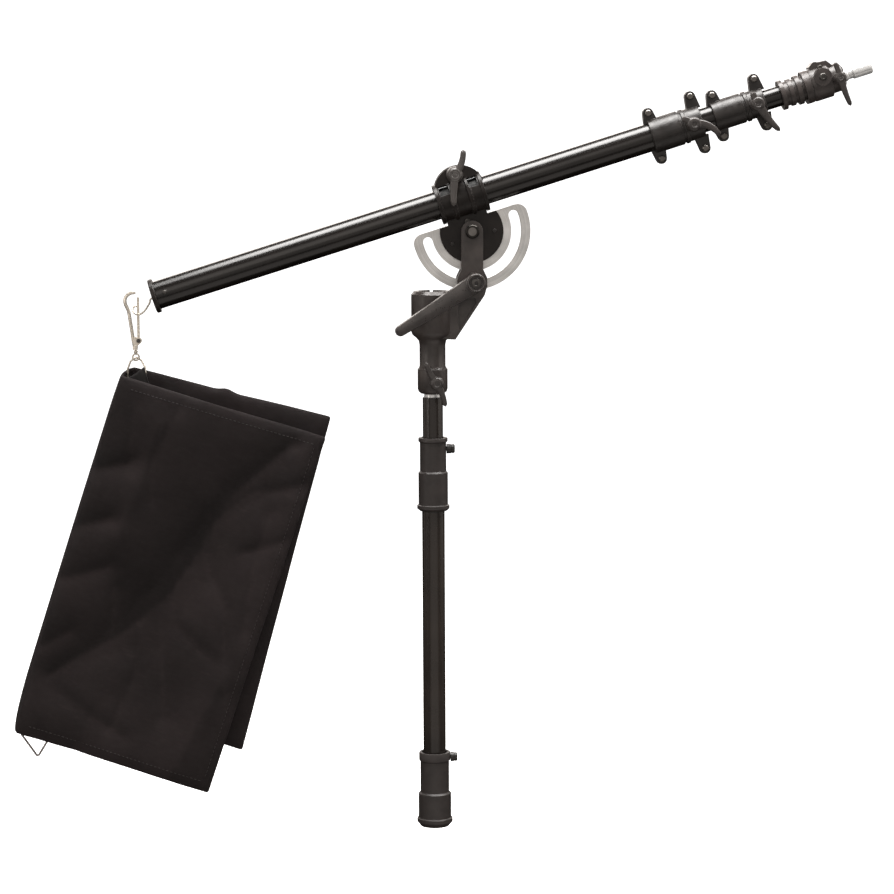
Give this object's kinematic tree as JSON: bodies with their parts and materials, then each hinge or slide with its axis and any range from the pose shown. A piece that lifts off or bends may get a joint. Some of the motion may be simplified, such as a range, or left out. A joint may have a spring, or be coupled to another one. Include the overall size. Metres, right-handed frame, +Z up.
{
  "type": "telescopic lighting boom arm on stand column",
  "caption": "Telescopic lighting boom with slotted tilt quadrant, saddle clamp and ratchet lever on a sliding stand column, with a hook and a hanging saddle bag as counterweight",
  "frame": {"origin": "centre of the lower collar's open bottom end, on the column's axis", "axes": "+Z up along the column; +X toward the boom's spigot end; the boom lies in the XZ plane and -Y faces the viewer"},
  "size_m": [1.058, 0.076, 0.9485],
  "materials": {
    "black_anodised": "black anodised, glossy",
    "cast_black": "die-cast aluminium, satin black paint",
    "collar_plastic": "moulded, fine matt",
    "knob_plastic": "moulded, satin",
    "silver_plate": "tumbled",
    "dark_steel": "blackened",
    "chrome": "polished",
    "nickel": "nickel plated",
    "bush_plastic": "moulded",
    "pad_rubber": "matt",
    "bag_nylon": "woven nylon"
  },
  "bodies": {
    "base": {"lower_collar": "collar_plastic", "lower_guide_bush": "bush_plastic"},
    "lower_knob": {"lower_knob": "knob_plastic"},
    "column_lower": {"column_tube_lower": "black_anodised", "upper_collar": "collar_plastic", "upper_guide_bush": "bush_plastic"},
    "upper_knob": {"upper_knob": "knob_plastic"},
    "column_upper": {"column_tube_upper": "black_anodised", "stand_spigot": "chrome"},
    "head": {"head_casting": "cast_black", "pivot_bolt": "dark_steel", "pivot_nut": "dark_steel", "clamp_bolt": "dark_steel", "brake_washer": "pad_rubber"},
    "receiver_wing": {"receiver_wing": "knob_plastic"},
    "lever": {"ratchet_lever": "knob_plastic", "lever_screw": "dark_steel"},
    "saddle": {"saddle_jaw_front": "cast_black", "saddle_jaw_rear": "cast_black", "jaw_pad_front": "pad_rubber", "jaw_pad_rear": "pad_rubber", "slotted_plate": "silver_plate", "saddle_nut": "dark_steel"},
    "saddle_wing": {"saddle_wing": "knob_plastic"},
    "boom": {"boom_tube_1": "black_anodised", "boom_end_cap": "knob_plastic", "wire_hook": "nickel", "collar_1_front": "cast_black", "collar_1_rear": "cast_black", "collar_1_bush": "bush_plastic", "collar_1_bolt_1": "dark_steel", "collar_1_bolt_2": "dark_steel", "collar_1_bolt_3": "dark_steel", "collar_1_bolt_4": "dark_steel"},
    "collar_1_wing": {"collar_1_wing": "knob_plastic"},
    "boom_mid": {"boom_tube_2": "black_anodised", "tube_2_plug": "bush_plastic", "collar_2_front": "cast_black", "collar_2_rear": "cast_black", "collar_2_bush": "bush_plastic", "collar_2_bolt_1": "dark_steel", "collar_2_bolt_2": "dark_steel", "collar_2_bolt_3": "dark_steel", "collar_2_bolt_4": "dark_steel"},
    "collar_2_wing": {"collar_2_wing": "knob_plastic"},
    "boom_end": {"boom_tube_3": "black_anodised", "tube_3_plug": "bush_plastic", "ribbed_reducer": "cast_black", "end_hub": "cast_black"},
    "hub_wing": {"hub_wing": "knob_plastic"},
    "boom_stud": {"boom_stud": "chrome"},
    "snap": {"snap_body": "nickel", "gate_rivet": "dark_steel"},
    "snap_gate": {"snap_gate": "nickel"},
    "swivel_eye": {"swivel_eye": "nickel"},
    "bag": {"upper_ring": "nickel", "bag_spine": "bag_nylon", "bag_front_pouch": "bag_nylon", "bag_rear_pouch": "bag_nylon"},
    "lower_ring": {"lower_ring": "nickel"}
  },
  "joints": [
    {"name": "lower_column_slide", "type": "slide", "parent": "base", "child": "column_lower", "axis": [0, 0, 1], "range_m": [-0.3, 0]},
    {"name": "lower_knob_turn", "type": "hinge", "parent": "base", "child": "lower_knob", "pos_m": [0, 0, 0.087], "axis": [1, 0, 0], "continuous": true},
    {"name": "upper_column_slide", "type": "slide", "parent": "column_lower", "child": "column_upper", "axis": [0, 0, 1], "range_m": [-0.04, 0.24]},
    {"name": "upper_knob_turn", "type": "hinge", "parent": "column_lower", "child": "upper_knob", "pos_m": [0, 0, 0.475], "axis": [1, 0, 0], "continuous": true},
    {"name": "head_pan", "type": "hinge", "parent": "column_upper", "child": "head", "pos_m": [0, 0, 0.57], "axis": [0, 0, 1], "continuous": true},
    {"name": "receiver_wing_turn", "type": "hinge", "parent": "head", "child": "receiver_wing", "pos_m": [0.004, 0, 0.558], "axis": [0, 1, 0], "continuous": true},
    {"name": "ratchet_lever_turn", "type": "hinge", "parent": "head", "child": "lever", "pos_m": [0.0485, 0, 0.688], "axis": [0, 1, 0], "continuous": true},
    {"name": "boom_tilt", "type": "hinge", "parent": "head", "child": "saddle", "pos_m": [0.0485, 0, 0.743], "axis": [0, -1, 0], "range_deg": [-45, 12]},
    {"name": "saddle_wing_turn", "type": "hinge", "parent": "saddle", "child": "saddle_wing", "pos_m": [0.02694, 0, 0.81222], "axis": [0, 1, 0], "continuous": true},
    {"name": "boom_slide", "type": "slide", "parent": "saddle", "child": "boom", "axis": [0.9548, 0, 0.2974], "range_m": [-0.16, 0.05]},
    {"name": "collar_1_wing_turn", "type": "hinge", "parent": "boom", "child": "collar_1_wing", "pos_m": [0.31847, 0, 0.8716], "axis": [0, 1, 0], "continuous": true},
    {"name": "tube_2_slide", "type": "slide", "parent": "boom", "child": "boom_mid", "axis": [0.9548, 0, 0.2974], "range_m": [-0.005, 0.45]},
    {"name": "collar_2_wing_turn", "type": "hinge", "parent": "boom_mid", "child": "collar_2_wing", "pos_m": [0.39676, 0, 0.89599], "axis": [0, 1, 0], "continuous": true},
    {"name": "tube_3_slide", "type": "slide", "parent": "boom_mid", "child": "boom_end", "axis": [0.9548, 0, 0.2974], "range_m": [-0.015, 0.42]},
    {"name": "hub_wing_turn", "type": "hinge", "parent": "boom_end", "child": "hub_wing", "pos_m": [0.49797, 0, 0.92751], "axis": [0, 1, 0], "continuous": true},
    {"name": "stud_slide", "type": "slide", "parent": "boom_end", "child": "boom_stud", "axis": [0.9548, 0, 0.2974], "range_m": [0, 0.025]},
    {"name": "snap_swing", "type": "hinge", "parent": "boom", "child": "snap", "pos_m": [-0.3573, 0, 0.645], "axis": [0, 1, 0], "range_deg": [-8, 8]},
    {"name": "snap_gate_turn", "type": "hinge", "parent": "snap", "child": "snap_gate", "pos_m": [-0.3596, 0, 0.6121], "axis": [0, -1, 0], "range_deg": [0, 3], "stiffness_Nm_per_rad": 0.05, "springref_deg": -5.73},
    {"name": "swivel_turn", "type": "hinge", "parent": "snap", "child": "swivel_eye", "pos_m": [-0.3633, 0, 0.592], "axis": [0, 0, 1], "continuous": true},
    {"name": "bag_swing", "type": "hinge", "parent": "swivel_eye", "child": "bag", "pos_m": [-0.3633, 0, 0.592], "axis": [0, 1, 0], "range_deg": [-8, 8]},
    {"name": "lower_ring_swing", "type": "hinge", "parent": "bag", "child": "lower_ring", "pos_m": [-0.497, 0, 0.122], "axis": [0.9594, 0, -0.2822], "range_deg": [-30, 30]}
  ]
}
